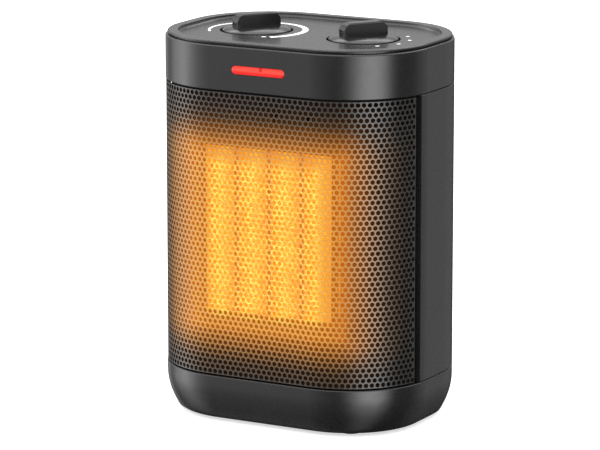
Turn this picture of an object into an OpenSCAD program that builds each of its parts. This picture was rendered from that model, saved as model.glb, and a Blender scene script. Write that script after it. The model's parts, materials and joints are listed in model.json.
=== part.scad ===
/* [Body] */
// Width of the body across the front
body_w = 160; // [156:1:170]
// Depth of the body from front to back
body_d = 118; // [116:1:124]
// Radius of the four upright corners
corner_r = 49.2; // [46:0.1:54]
// Height of the seam between the base and the grille
seam_z = 28; // [26:1:30]
// Height of the lower edge of the control band
band_z = 190.2; // [188:0.2:194]
// Height of the rim round the control deck
rim_z = 217.4; // [217:0.2:218.4]
// Thickness of the moulded shells
wall = 2.4; // [2:0.2:2.8]

/* [Base] */
// Height of the feet below the base
foot_h = 2; // [1.5:0.1:3]
// Radius of a foot
foot_r = 6; // [5:0.5:7]
// How far the base tucks in at its bottom edge
base_tuck = 6.6; // [4:0.2:8]

/* [Grille] */
// How far the grille sits back from the body's outline
grille_inset = 0.3; // [0.2:0.1:1.2]
// Thickness of the grille sheet
grille_t = 0.8; // [0.6:0.1:1]
// Depth position of the grille's rear edge
grille_edge_y = -21.8; // [-24:0.1:-16]
// Depth position of the rear shell's front edge
shell_edge_y = -17.3; // [-20:0.1:-10]

/* [Controls] */
// Distance of each knob from the middle of the deck
knob_x = 34; // [33:0.5:35]
// Radius of the wells that the knobs sit in
well_r = 20.75; // [20.5:0.05:21.5]
// Radius of a knob's skirt
knob_r = 19.5; // [18.5:0.1:19.6]
// Length of a knob's grip
grip_l = 27.4; // [26:0.2:34]
// Thickness of a knob's grip at its foot
grip_w = 7.8; // [7:0.2:10]
// Height of the knob's top above the rim
grip_h = 7.4; // [6.8:0.2:10]
// Direction in which both grips point, measured from the body's right
grip_angle = 55; // [0:5:90]
// Width of the indicator lens
lens_w = 32.7; // [26:0.1:38]
// Height of the indicator lens
lens_h = 4.4; // [4:0.1:6]
// Height of the lens's middle
lens_z = 202.4; // [201:0.1:204]

/* [Heater and fan] */
// Height of the fan's axis and of the heater's middle
axis_z = 109.5; // [108:0.5:111]
// Height of the heater's fins
core_h = 95; // [90:1:96]
// Distance from one row of heating stones to the next
row_pitch = 20.6; // [20:0.1:20.8]
// Depth position of the heater's front
core_y = -47; // [-48:0.5:-46]
// Radius of the fan's blades
fan_r = 44.5; // [42:0.5:45]
// Number of fan blades
blades = 7; // [5:1:9]
// Radius of the mains lead's inlet
inlet_r = 3.6; // [3:0.1:4]

/* [Hidden] */
$fn = 72;

charcoal = "#34353a";
black = "#1d1e20";
cream = "#d8cfb8";
steel = "#a9adb2";
arc_x = body_w / 2 - corner_r;
arc_y = body_d / 2 - corner_r;
// Gap left at the seams between shells
seam = 0.3;
// Clearance round a fixed part in its seat, and of a turning shaft in its bearing
seat = 0.02;
run = 0.05;

// Base
base_z = foot_h;
tuck_top = seam_z - 5;
floor_t = 2.4;
foot_at = [46, 36];
foot_sink = 1.4;

// Vertical screws that hold the base and the band to the duct in front and the rear shell behind
screw_r = 1.5;
head_r = 2.9;
head_h = 2;
front_screw = [22, -35.5];
rear_screw = [22, 45];
boss_r = 4;
flange_t = 2.2;
flange_w = 18;

// Duct
duct_inset = 3.4;
duct_t = 2;
duct_back_y = -6;
baffle_y = -40;
tunnel_x = 44;
tunnel_top = axis_z + core_h / 2 + 10;
tunnel_bottom = axis_z - core_h / 2 - 10;
shroud_y = -8;
ring_r = 46;
ring_back_y = 14;
shroud_screw = [56, 39.5];
post_at = 39;
mount_y = 17;
mount_t = 2.5;
back_screw = [52, 66];
back_post_y = 8;

// Top
band_top = 215.2;
deck_z = 215.1;
deck_t = 2;
deck_inset = 7.3;
well_z = 212.1;
bushing_r = 5;
bushing_top = 215;
spindle_r = 3;
spindle_top = 221;
spindle_foot = 197.2;
body_z = 195;
under_deck = well_z - deck_t;
knob_z = well_z + 1;
flat_depth = 0.8;
grip_top = rim_z + grip_h;

// Heater
core_d = 14;
row_t = 2.8;
strip_t = 0.35;
core_z0 = axis_z - core_h / 2;
core_z1 = axis_z + core_h / 2;
rail_t = 2;
core_half = 2 * row_pitch - row_t / 2;
fin_t = 0.35;
fin_pitch = 3.2;
// Clear height between two runs at a riser
fin_gap = 0.25;
plate_t = 0.4;
ear = [50, core_h / 2 + 4];
ear_y = -43;

// Motor: a lamination stack with the rotor at one end and the coil at the other
stack_y = 27;
stack_t = 14;
shaft_r = 2;
rotor_r = 11;
core_bore = 11.4;
stay_x = 17;
bearing_r = 4.5;
hub_r = 14;
hub_y = -3;
hub_d = 14;

// Tip-over switch
tilt_x = -34;
tilt_pin_z = 22;
tilt_arm = 11;
tilt_pin_r = 1.5;

inlet_z = 44;
gland_y = 47;

// Plan of the body: a rectangle with round corners
module plan(inset) {
    square([body_w - 2 * inset, 2 * arc_y], center = true);
    square([2 * arc_x, body_d - 2 * inset], center = true);
    for (sx = [-1, 1], sy = [-1, 1])
        translate([sx * arc_x, sy * arc_y]) circle(corner_r - inset);
}

module slab(inset, z0, z1) {
    translate([0, 0, z0]) linear_extrude(z1 - z0) plan(inset);
}

// Wall between two insets
module ring(outer, inner, z0, z1) {
    translate([0, 0, z0]) linear_extrude(z1 - z0) difference() {
        plan(outer);
        plan(inner);
    }
}

// Runs a profile round the plan: its x is the distance outward from a corner's centre
module around_plan() {
    for (q = [0:3]) {
        sx = (q == 0 || q == 3) ? 1 : -1;
        sy = (q < 2) ? 1 : -1;
        run_l = (q % 2 == 0) ? 2 * arc_y : 2 * arc_x;
        translate([sx * arc_x, sy * arc_y, 0]) rotate([0, 0, 90 * q]) {
            rotate_extrude(angle = 90) children();
            rotate([90, 0, 0]) linear_extrude(run_l) children();
        }
    }
}

// Points of an arc, counterclockwise from a0 to a1
function arc(cx, cy, r, a0, a1, n = 5) =
    [for (i = [0:n]) [cx + r * cos(a0 + (a1 - a0) * i / n), cy + r * sin(a0 + (a1 - a0) * i / n)]];

// Upright wall profile with rounded outer edges
module wall_profile(z0, z1, r_low, r_high) {
    polygon(concat(
        [[corner_r - wall, z0]],
        arc(corner_r - r_low, z0 + r_low, r_low, -90, 0),
        arc(corner_r - r_high, z1 - r_high, r_high, 0, 90),
        [[corner_r - wall, z1]]
    ));
}

module block(lo, hi) {
    translate(lo) cube(hi - lo);
}

// Everything between two depths
module depth_slice(y0, y1) {
    block([-body_w, y0, -1], [body_w, y1, rim_z + grip_h]);
}

// Cylinder along the depth
module y_rod(x, z, r, y0, y1) {
    translate([x, y1, z]) rotate([90, 0, 0]) cylinder(h = y1 - y0, r = r);
}

// One child at each of four places mirrored about the middle
module four(at) {
    for (sx = [-1, 1], sy = [-1, 1])
        translate([sx * at.x, sy * at.y, 0]) children();
}

// The four vertical screw places
module at_screws() {
    for (sx = [-1, 1], at = [front_screw, rear_screw])
        translate([sx * at.x, at.y, 0]) children();
}

// Pan head screw with a cross recess: its seat is at z = 0 and its shank runs down
module pan_screw(length) {
    drive = [3.2, 0.8, 1.2];
    difference() {
        union() {
            translate([0, 0, -length]) cylinder(h = length, r = screw_r);
            cylinder(h = head_h, r = head_r);
        }
        for (a = [0, 90]) rotate([0, 0, a])
            translate([-drive.x / 2, -drive.y / 2, head_h - drive.z]) cube([drive.x, drive.y, 2 * drive.z]);
    }
}

// The same screw lying along the depth, with its head towards the front or the back
module front_headed(x, y, z, length) {
    translate([x, y, z]) rotate([90, 0, 0]) pan_screw(length);
}

module back_headed(x, y, z, length) {
    translate([x, y, z]) rotate([-90, 0, 0]) pan_screw(length);
}

// How far the base's outer face lies inside the plan at a height
function tuck(z) = base_tuck * pow(max(0, (tuck_top - z) / (tuck_top - base_z)), 2);

module base_profile() {
    steps = 8;
    edge = 0.9;
    heights = [for (i = [0:steps]) base_z + edge + (tuck_top - base_z - edge) * i / steps];
    top = seam_z - seam / 2;
    polygon(concat(
        [[corner_r - tuck(base_z) - 4, base_z], [corner_r - tuck(base_z) - edge, base_z]],
        [for (z = heights) [corner_r - tuck(z), z]],
        arc(corner_r - 0.6, top - 0.6, 0.6, 0, 90),
        [[corner_r - wall, top]],
        [for (i = [steps:-1:1]) [corner_r - wall - tuck(heights[i]), heights[i]]],
        [[corner_r - tuck(base_z) - 4, base_z + floor_t]]
    ));
}

module base_shell() color(charcoal) difference() {
    union() {
        around_plan() base_profile();
        slab(base_tuck + 3, base_z, base_z + floor_t);
        // Bosses that the vertical screws pass through
        at_screws() translate([0, 0, base_z]) cylinder(h = seam_z - base_z, r = boss_r + 0.6);
        // Ribs across the floor
        for (x = [-64, 64]) block([x - 0.8, -24, base_z + 1], [x + 0.8, 24, base_z + 9]);
        // Fences that locate the terminal block
        for (y = [-8.4, 7]) block([22, y, base_z + 1], [48, y + 1.4, base_z + 7]);
    }
    at_screws() {
        translate([0, 0, base_z - 1]) cylinder(h = seam_z, r = screw_r + 0.2);
        translate([0, 0, base_z - 1]) cylinder(h = 11, r = head_r + 0.4);
    }
    four(foot_at) translate([0, 0, base_z - 1]) cylinder(h = 1 + foot_sink, r = foot_r + 0.2);
    // Shallow panel for a rating plate
    block([-30, -16, base_z - 1], [30, 16, base_z + 0.4]);
}

module rubber_feet() color(black) four(foot_at) rotate_extrude() polygon(concat(
    [[0, 0]],
    arc(foot_r - 0.6, 0.6, 0.6, -90, 0),
    [[foot_r, base_z + foot_sink], [0, base_z + foot_sink]]
));

// Slots of the air intake, in rows across the back
module intake_slots() {
    slot_h = 3;
    slot_w = 24;
    for (row = [-9:9], col = [-1:1])
        translate([col * 30, body_d / 2 + 1, axis_z + row * 6]) rotate([90, 0, 0])
            linear_extrude(wall + 4) {
                square([slot_w - slot_h, slot_h], center = true);
                for (s = [-1, 1]) translate([s * (slot_w - slot_h) / 2, 0]) circle(slot_h / 2, $fn = 24);
            }
}

// The places of the four screws in the back
module at_back_screws() {
    for (sx = [-1, 1], sz = [-1, 1])
        translate([sx * back_screw.x, 0, axis_z + sz * back_screw.y]) children();
}

module rear_shell() color(charcoal) difference() {
    union() {
        intersection() {
            union() {
                around_plan() wall_profile(seam_z + seam / 2, band_z - seam, 0.6, 0.6);
                // Return along the front edge
                intersection() {
                    ring(wall / 2, duct_inset - seam, seam_z + seam, band_z - seam);
                    depth_slice(shell_edge_y, shell_edge_y + 2);
                }
            }
            depth_slice(shell_edge_y, body_d);
        }
        // Flanges above and below that take the vertical screws
        intersection() {
            union() {
                ring(wall / 2, flange_w, seam_z, seam_z + flange_t);
                ring(wall / 2, flange_w, band_z - flange_t, band_z);
            }
            depth_slice(20, body_d / 2 - wall / 2);
        }
        for (sx = [-1, 1]) translate([sx * rear_screw.x, rear_screw.y, 0]) {
            translate([0, 0, seam_z]) cylinder(h = 15, r = boss_r);
            translate([0, 0, band_z - 15]) cylinder(h = 15, r = boss_r);
        }
        // Bosses behind the four back screws
        at_back_screws() intersection() {
            y_rod(0, 0, 6, back_post_y + seam, 50);
            translate([0, 0, -axis_z]) cube([200, 200, 400], center = true);
        }
        // Thickened wall round the inlet, and the saddle that the lead lies on
        y_rod(0, inlet_z, 11, 52, body_d / 2 - wall / 2);
        block([-15, 33, seam_z], [15, 43, inlet_z - 0.4]);
    }
    intake_slots();
    at_back_screws() {
        y_rod(0, 0, screw_r + 0.2, 0, body_d);
        y_rod(0, 0, head_r + 0.5, 18, body_d);
    }
    y_rod(0, inlet_z, inlet_r + 3, 40, body_d);
    y_rod(0, inlet_z, 8.4, body_d / 2 - 2, body_d);
    y_rod(0, inlet_z, inlet_r + 0.2, 0, body_d);
    for (sx = [-1, 1]) {
        translate([sx * 10, 38, inlet_z - 10]) cylinder(h = 20, r = screw_r + seat);
        translate([sx * rear_screw.x, rear_screw.y, seam_z - 1]) cylinder(h = 12, r = screw_r + seat);
        translate([sx * rear_screw.x, rear_screw.y, band_z - 11]) cylinder(h = 12, r = screw_r + seat);
    }
}

module front_grille() color(black) intersection() {
    gap = 1;
    z0 = seam_z + gap;
    z1 = band_z - gap;
    union() {
        ring(grille_inset, grille_inset + grille_t, z0, z1);
        // Returned upright edges
        intersection() {
            ring(grille_inset, duct_inset - 0.2, z0, z1);
            depth_slice(grille_edge_y - grille_t, grille_edge_y);
        }
    }
    depth_slice(-body_d, grille_edge_y);
}

// Heater screw places on the baffle
module at_ears() {
    for (sx = [-1, 1], sz = [-1, 1])
        translate([sx * ear.x, 0, axis_z + sz * ear.y]) children();
}

module at_shroud_screws() {
    for (sx = [-1, 1], sz = [-1, 1])
        translate([sx * shroud_screw.x, 0, axis_z + sz * shroud_screw.y]) children();
}

module air_duct() color(black) difference() {
    union() {
        intersection() {
            union() {
                slab(duct_inset, seam_z, seam_z + duct_t);
                slab(duct_inset, band_z - duct_t, band_z);
            }
            depth_slice(-body_d, duct_back_y);
        }
        intersection() {
            ring(duct_inset, duct_inset + duct_t, seam_z, band_z);
            depth_slice(baffle_y, duct_back_y);
        }
        intersection() {
            slab(duct_inset, seam_z, band_z);
            depth_slice(baffle_y, baffle_y + duct_t);
        }
        block([-tunnel_x - duct_t, baffle_y, tunnel_bottom - duct_t],
              [tunnel_x + duct_t, shroud_y, tunnel_top + duct_t]);
        for (sx = [-1, 1]) translate([sx * front_screw.x, front_screw.y, 0]) {
            translate([0, 0, seam_z]) cylinder(h = 14, r = boss_r);
            translate([0, 0, band_z - 14]) cylinder(h = 14, r = boss_r);
        }
        at_ears() y_rod(0, 0, 3.4, baffle_y, baffle_y + 10);
        at_shroud_screws() y_rod(0, 0, 4, baffle_y, shroud_y);
    }
    block([-tunnel_x, baffle_y - 1, tunnel_bottom], [tunnel_x, shroud_y + 1, tunnel_top]);
    // Slots that the electrode tabs pass through, and the lead holes above
    for (row = [-1:1]) block([row * row_pitch - 3, -46, tunnel_top - 1], [row * row_pitch + 3, -33, 176]);
    block([-12, -26, band_z - 4], [12, -14, band_z + 1]);
    for (sx = [-1, 1]) translate([sx * front_screw.x, front_screw.y, 0]) {
        translate([0, 0, seam_z - 1]) cylinder(h = 12, r = screw_r + seat);
        translate([0, 0, band_z - 11]) cylinder(h = 12, r = screw_r + seat);
    }
    at_ears() y_rod(0, 0, screw_r + seat, baffle_y - 1, baffle_y + 9);
    at_shroud_screws() y_rod(0, 0, screw_r + seat, shroud_y - 9, shroud_y + 1);
}

// Places of the motor mount's posts
module at_posts() {
    for (sx = [-1, 1], sz = [-1, 1])
        translate([sx * post_at, 0, axis_z + sz * post_at]) children();
}

module fan_shroud() color(black) difference() {
    union() {
        intersection() {
            slab(duct_inset + duct_t + seam, seam_z + duct_t + seam, band_z - duct_t - seam);
            depth_slice(shroud_y, duct_back_y);
        }
        y_rod(0, axis_z, ring_r + 2, shroud_y, ring_back_y);
        at_posts() y_rod(0, 0, 4, shroud_y, mount_y);
        at_back_screws() y_rod(0, 0, 4.5, shroud_y, back_post_y);
    }
    y_rod(0, axis_z, ring_r, shroud_y - 1, ring_back_y + 1);
    at_posts() y_rod(0, 0, screw_r + seat, mount_y - 9, mount_y + 1);
    at_back_screws() y_rod(0, 0, screw_r + seat, back_post_y - 10, back_post_y + 1);
    at_shroud_screws() y_rod(0, 0, screw_r + 0.2, shroud_y - 1, duct_back_y + 1);
}

module lens_outline(grow) {
    r = lens_h / 2 + grow;
    square([lens_w - lens_h, 2 * r], center = true);
    for (s = [-1, 1]) translate([s * (lens_w - lens_h) / 2, 0]) circle(r);
}

module lens_slab(grow, y0, y1) {
    translate([0, y1, lens_z]) rotate([90, 0, 0]) linear_extrude(y1 - y0) lens_outline(grow);
}

// Catches that hold the cover: one child at each place, facing outward
module at_catches() {
    for (s = [-1, 1]) {
        for (x = [-25, 25]) translate([x, s * body_d / 2, 0]) rotate([0, 0, s * 90]) children();
        translate([s * body_w / 2, 0, 0]) rotate([0, 0, s > 0 ? 0 : 180]) children();
    }
}

module top_band() color(charcoal) difference() {
    union() {
        around_plan() wall_profile(band_z, band_top, 0.6, 1);
        ring(wall / 2, flange_w, band_z, band_z + flange_t);
        at_catches() block([-wall - 0.6, -5, 206], [-wall / 2, 5, 207.4]);
    }
    at_screws() translate([0, 0, band_z - 1]) cylinder(h = 5, r = screw_r + 0.2);
    lens_slab(0.15, -body_d, -body_d / 2 + wall + 1);
}

module cover_profile() {
    neck = corner_r - wall - 0.3;
    lip = corner_r - 1.2;
    inner = corner_r - deck_inset;
    lip_z = rim_z - 1.2;
    cove = rim_z - 0.6 - deck_z;
    polygon(concat(
        [[neck - 1.8, 208.6], [neck, 208.6], [neck, lip_z], [lip, lip_z]],
        arc(lip - 1, rim_z - 1, 1, 0, 90),
        arc(inner + 0.6, rim_z - 0.6, 0.6, 90, 180),
        [for (a = [15:15:90]) [inner - cove + cove * cos(a), deck_z + cove - cove * sin(a)]],
        [[inner - cove, deck_z - deck_t], [neck - 1.8, deck_z - deck_t]]
    ));
}

module top_cover() color(charcoal) difference() {
    union() {
        around_plan() cover_profile();
        slab(deck_inset + 0.8, deck_z - deck_t, deck_z);
        for (s = [-1, 1]) translate([s * knob_x, 0, under_deck])
            cylinder(h = deck_z - deck_t / 2 - under_deck, r = well_r + deck_t);
        at_catches() {
            block([-wall - 2.1, -4.5, 203.4], [-wall - 0.8, 4.5, 209]);
            block([-wall - 1, -4.5, 203.4], [-wall - 0.3, 4.5, 205.2]);
        }
    }
    for (s = [-1, 1]) translate([s * knob_x, 0, 0]) {
        translate([0, 0, well_z]) cylinder(h = 20, r = well_r);
        translate([0, 0, under_deck - 1]) cylinder(h = 20, r = bushing_r + 0.1);
    }
}

module lamp_lens() color("#f2382e") {
    front = -body_d / 2 - 0.5;
    edge = 0.35;
    lens_slab(-edge, front, front + edge);
    lens_slab(0, front + edge, -body_d / 2 + wall + 0.1);
    translate([0, -body_d / 2 + wall + 1.2, lens_z]) rotate([90, 0, 0]) linear_extrude(1.1)
        square([lens_w + 4, lens_h + 4], center = true);
}

module lamp_holder() color(cream) difference() {
    back = -body_d / 2 + wall + 8;
    union() {
        block([-19, back, band_z + flange_t], [19, back + 1.6, lens_z + 4]);
        block([-19, back, band_z + flange_t], [19, back + 6, band_z + flange_t + 1.6]);
        for (x = [-8.6, 7.2]) block([x, back - 4, lens_z - 3.5], [x + 1.4, back + 1, lens_z + 3.5]);
    }
    translate([-10, back - 3.2, lens_z]) rotate([0, 90, 0]) cylinder(h = 20, r = 2.5 + seat);
}

module neon_lamp() color("#ffb27a") translate([-9, -body_d / 2 + wall + 4.8, lens_z]) rotate([0, 90, 0]) {
    cylinder(h = 16, r = 2.5);
    translate([0, 0, 16]) sphere(2.5);
    for (s = [-1, 1]) translate([s * 0.9, 0, -5]) cylinder(h = 5, r = 0.35, $fn = 24);
}

module heater_cap(z0, z1) {
    difference() {
        union() {
            block([-tunnel_x + 0.5, core_y - 1, z0], [tunnel_x - 0.5, core_y + core_d + 1, z1]);
            for (s = [-1, 1]) {
                x0 = s > 0 ? tunnel_x - 4 : -ear.x - 4.5;
                mid = z0 > axis_z ? axis_z + ear.y : axis_z - ear.y;
                block([x0, ear_y, mid - 4], [x0 + ear.x - tunnel_x + 8.5, baffle_y, mid + 4]);
            }
        }
        at_ears() y_rod(0, 0, screw_r + 0.2, ear_y - 1, 0);
    }
}

module heater_frame_top() color(cream) difference() {
    heater_cap(core_z1, core_z1 + 9);
    for (row = [-1:1], s = [-1, 1]) electrode_tab(row, s, 0.1);
}

module heater_frame_bottom() color(cream) heater_cap(core_z0 - 9, core_z0);

module heater_side_rails() color(steel) for (s = [-1, 1]) {
    inner = core_half + (s > 0 ? 0 : rail_t);
    y1 = core_y + core_d;
    difference() {
        block([s * inner, core_y - 0.6, core_z0], [s * inner + rail_t, y1 + 0.6, core_z1]);
        // Lightening windows
        for (i = [-3:3]) block([s * inner - 1, core_y + 4, axis_z + i * 12.6 - 4.4],
                               [s * inner + rail_t + 1, y1 - 4, axis_z + i * 12.6 + 4.4]);
    }
}

// Outline of one folded fin strip between x0 and x1: runs that slope up, joined by short risers
function fin_outline(x0, x1, z0, runs) =
    let (
        t = fin_t,
        rise = fin_pitch / 2 - fin_gap - t,
        foot = [for (k = [0:runs]) z0 + k * fin_pitch / 2],
        under = [for (k = [0:runs]) each k % 2 == 0
            ? [[k == 0 ? x0 : x0 + t, foot[k]], [x1, foot[k] + rise]]
            : [[x1, foot[k] + t], [x0 + (k == runs ? 0 : t), foot[k] + rise + t]]],
        over = [for (k = [0:runs]) each k % 2 == 0
            ? [[x0, foot[k] + t], [x1 - (k == runs ? 0 : t), foot[k] + rise + t]]
            : [[x1 - t, foot[k]], [x0, foot[k] + rise]]]
    )
    concat(under, [for (k = [len(over) - 1:-1:0]) over[k]]);

// One block of the heater: a folded fin strip between two thin plates
module fin_block(i) color(steel) {
    x0 = (i - 2) * row_pitch + row_t / 2;
    x1 = (i - 1) * row_pitch - row_t / 2;
    runs = floor((core_h - 2) / (fin_pitch / 2)) - 1;
    side = plate_t + seat;
    translate([0, core_y + core_d, 0]) rotate([90, 0, 0]) linear_extrude(core_d)
        polygon(fin_outline(x0 + side, x1 - side, axis_z - (runs + 1) * fin_pitch / 4, runs));
    for (x = [x0, x1 - plate_t]) block([x, core_y, core_z0], [x + plate_t, core_y + core_d, core_z1]);
}

module ptc_row(i) color("#57504a") {
    stones = 4;
    step = core_h / stones;
    t = row_t - 2 * strip_t;
    for (k = [0:stones - 1]) block(
        [(i - 2) * row_pitch - t / 2, core_y + 0.8, core_z0 + k * step + 0.6],
        [(i - 2) * row_pitch + t / 2, core_y + core_d - 0.8, core_z0 + (k + 1) * step - 0.6]
    );
}

// Tab of one electrode, which stands up through the heater's frame and the tunnel
module electrode_tab(row, s, grow) {
    x = row * row_pitch + s * (row_t - strip_t) / 2;
    y = s < 0 ? core_y + 2.4 : core_y + core_d - 7.2;
    block([x - strip_t / 2 - grow, y - grow, core_z1 - 1], [x + strip_t / 2 + grow, y + 4.8 + grow, tunnel_top + 8]);
}

module electrodes(s) {
    for (row = [-1:1]) {
        x = row * row_pitch + s * (row_t - strip_t) / 2;
        block([x - strip_t / 2, core_y + 0.6, core_z0], [x + strip_t / 2, core_y + core_d - 0.6, core_z1]);
        electrode_tab(row, s, 0);
    }
}

module electrodes_live() color("#c9a44c") electrodes(-1);

module electrodes_neutral() color("#c9a44c") electrodes(1);

module thermal_cutout() color(black) translate([32, -24, tunnel_top + duct_t]) {
    cylinder(h = 2, r = 8.2);
    cylinder(h = 9, r = 7);
    for (s = [-1, 1]) block([s * 4 - 0.4, -3.1, 8], [s * 4 + 0.4, 3.1, 15]);
}

module thermal_fuse() color("#e8e4da") translate([-40, -24, tunnel_top + duct_t + 2.4]) rotate([0, 90, 0]) {
    cylinder(h = 12, r = 2.2);
    translate([0, 0, 12]) cylinder(h = 2.4, r1 = 2.2, r2 = 0.8);
    for (z = [-7, 14.3]) translate([0, 0, z]) cylinder(h = 7.1, r = 0.5, $fn = 24);
}

// Cross-shaped steel plate that carries the motor
module motor_mount() color(steel) translate([0, mount_y + mount_t, axis_z]) rotate([90, 0, 0])
    linear_extrude(mount_t) difference() {
        union() {
            circle(24);
            for (a = [45, 135]) rotate(a) square([2 * post_at * sqrt(2), 9], center = true);
            for (sx = [-1, 1], sz = [-1, 1]) translate([sx * post_at, sz * post_at]) circle(6);
        }
        circle(9);
        for (sx = [-1, 1], sz = [-1, 1]) translate([sx * post_at, sz * post_at]) circle(screw_r + 0.2);
        for (s = [-1, 1]) translate([s * stay_x, 0]) circle(screw_r + seat);
    }

// Bridge that holds one of the motor's bearings: y grows away from the lamination stack
module bearing_bridge() {
    foot = 4.5;
    plate = 3;
    difference() {
        union() {
            block([-stay_x - 4.4, foot, -5], [stay_x + 4.4, foot + plate, 5]);
            y_rod(0, 0, 6.6, foot - 1.5, foot + plate + 1.5);
            for (s = [-1, 1]) y_rod(s * stay_x, 0, 3.8, 0, foot + plate);
        }
        y_rod(0, 0, bearing_r + seat, -5, 20);
        for (s = [-1, 1]) y_rod(s * stay_x, 0, screw_r + 0.2, -5, 20);
    }
}

module motor_front_bracket() color(steel) translate([0, stack_y, axis_z]) mirror([0, 1, 0]) bearing_bridge();

module motor_rear_bracket() color(steel) translate([0, stack_y + stack_t, axis_z]) bearing_bridge();

module motor_bearings() color("#9a7b45") for (y = [stack_y - 8, stack_y + stack_t + 3.4]) difference() {
    y_rod(0, axis_z, bearing_r, y, y + 4.6);
    y_rod(0, axis_z, shaft_r + run, y - 1, y + 6);
}

module motor_core() color("#70757c") difference() {
    block([-22, stack_y, axis_z - 42], [22, stack_y + stack_t, axis_z + 16]);
    y_rod(0, axis_z, core_bore, 0, body_d);
    block([-11.2, 0, axis_z - 30], [11.2, body_d, axis_z - 15]);
    for (s = [-1, 1]) {
        y_rod(s * stay_x, axis_z, screw_r + 0.2, 0, body_d);
        // Slots for the shading rings
        block([s * 11.6 - 1, 0, axis_z + 7], [s * 11.6 + 1, body_d, axis_z + 12]);
    }
}

module coil_bobbin() color(cream) {
    leg_z = axis_z - 36;
    difference() {
        union() {
            block([-10.6, stack_y - 1.4, leg_z - 7.4], [10.6, stack_y + stack_t + 1.4, leg_z + 7.4]);
            for (s = [-1, 1]) block([s * 9.9 - 0.7, stack_y - 7, leg_z - 12], [s * 9.9 + 0.7, stack_y + stack_t + 7, leg_z + 12]);
        }
        block([-20, stack_y - 0.1, leg_z - 6.1], [20, stack_y + stack_t + 0.1, leg_z + 6.1]);
    }
}

module motor_coil() color("#b86f3c") {
    leg_z = axis_z - 36;
    difference() {
        block([-9.1, stack_y - 6, leg_z - 11.4], [9.1, stack_y + stack_t + 6, leg_z + 11.4]);
        block([-20, stack_y - 1.5, leg_z - 7.5], [20, stack_y + stack_t + 1.5, leg_z + 7.5]);
    }
}

// Body of a rotary control: a box, the bushing that goes through the deck, and the spindle's chamber
module control_body(size) {
    difference() {
        union() {
            block([-size.x / 2, -size.y / 2, body_z], [size.x / 2, size.y / 2, under_deck]);
            translate([0, 0, under_deck - 1]) cylinder(h = bushing_top - under_deck + 1, r = bushing_r);
        }
        translate([0, 0, spindle_foot - 0.5]) cylinder(h = 30, r = spindle_r + run);
        translate([0, 0, spindle_foot - 0.5]) cylinder(h = 4.5, r = 5.4);
    }
}

module thermostat_body() color("#5b3a29") translate([-knob_x, 0, 0]) control_body([26, 20]);

module thermostat_bimetal() color(steel) translate([-knob_x, 0, 0]) {
    for (k = [0:1]) block([-3.5, -19, body_z - 1 - 1.9 * k], [3.5, 22 - 8 * k, body_z - 1.9 * k - 0.1]);
    block([-4.5, -19, body_z - 3.4], [4.5, -13, body_z - 0.02]);
}

module mode_switch_body() color(black) translate([knob_x, 0, 0]) control_body([28, 24]);

module mode_switch_terminals() color("#c9a44c") translate([knob_x, 0, 0]) for (x = [-9, -3, 3, 9])
    block([x - 0.4, -3.1, body_z - 3.4], [x + 0.4, 3.1, body_z]);

module control_nuts() color(steel) for (s = [-1, 1]) translate([s * knob_x, 0, well_z]) difference() {
    cylinder(h = 2.3, r = 8, $fn = 6);
    translate([0, 0, -1]) cylinder(h = 5, r = bushing_r + seat);
}

module spindle() {
    difference() {
        union() {
            translate([0, 0, spindle_foot]) cylinder(h = spindle_top - spindle_foot, r = spindle_r);
            translate([0, 0, spindle_foot]) cylinder(h = 3.4, r = 4.8);
        }
        rotate([0, 0, grip_angle]) block([-5, spindle_r - flat_depth, bushing_top], [5, 5, spindle_top + 1]);
    }
}

module thermostat_spindle() color(steel) translate([-knob_x, 0, 0]) spindle();

module mode_spindle() color(steel) translate([knob_x, 0, 0]) spindle();

// Knob: a low round skirt with a straight grip across it
module knob() {
    skirt_top = rim_z + 0.4;
    grip_foot = rim_z - 0.6;
    round_r = 5.4;
    end_r = 1.2;
    difference() {
        union() {
            rotate_extrude() polygon(concat(
                [[0, knob_z], [knob_r - 0.4, knob_z]],
                arc(knob_r - 0.8, rim_z - 2.4, 0.8, 0, 60, 3),
                [[knob_r - 3.2, rim_z - 0.7], [knob_r - 8, skirt_top - 0.2], [0, skirt_top]]
            ));
            rotate([0, 0, grip_angle]) intersection() {
                // Side view of the grip, with round top corners
                rotate([90, 0, 0]) linear_extrude(2 * grip_w, center = true) {
                    translate([-grip_l / 2, grip_foot]) square([grip_l, grip_top - round_r - grip_foot]);
                    translate([-grip_l / 2 + round_r, grip_foot])
                        square([grip_l - 2 * round_r, grip_top - grip_foot]);
                    for (s = [-1, 1]) translate([s * (grip_l / 2 - round_r), grip_top - round_r]) circle(round_r);
                }
                // End view, tapered towards the top
                rotate([90, 0, 90]) linear_extrude(2 * grip_l, center = true) polygon([
                    [-grip_w / 2, grip_foot], [grip_w / 2, grip_foot],
                    [grip_w / 2 - 0.5, grip_top - 0.7], [grip_w / 2 - 1.1, grip_top],
                    [-grip_w / 2 + 1.1, grip_top], [-grip_w / 2 + 0.5, grip_top - 0.7]
                ]);
                // Plan, with rounded corners
                translate([0, 0, grip_foot]) linear_extrude(2 * grip_h) {
                    square([grip_l - 2 * end_r, grip_w], center = true);
                    square([grip_l, grip_w - 2 * end_r], center = true);
                    for (s = [-1, 1], t = [-1, 1])
                        translate([s * (grip_l / 2 - end_r), t * (grip_w / 2 - end_r)]) circle(end_r);
                }
            }
        }
        translate([0, 0, knob_z - 1]) cylinder(h = rim_z - 1.6 - knob_z + 1, r = knob_r - 1.6);
        // Bore for the spindle, with its flat
        difference() {
            translate([0, 0, knob_z - 1]) cylinder(h = spindle_top + 0.2 - knob_z + 1, r = spindle_r + seat);
            rotate([0, 0, grip_angle])
                block([-5, spindle_r - flat_depth + seat, bushing_top], [5, 5, spindle_top + 1]);
        }
    }
}

module thermostat_knob() color(charcoal) translate([-knob_x, 0, 0]) knob();

module mode_knob() color(charcoal) translate([knob_x, 0, 0]) knob();

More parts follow.
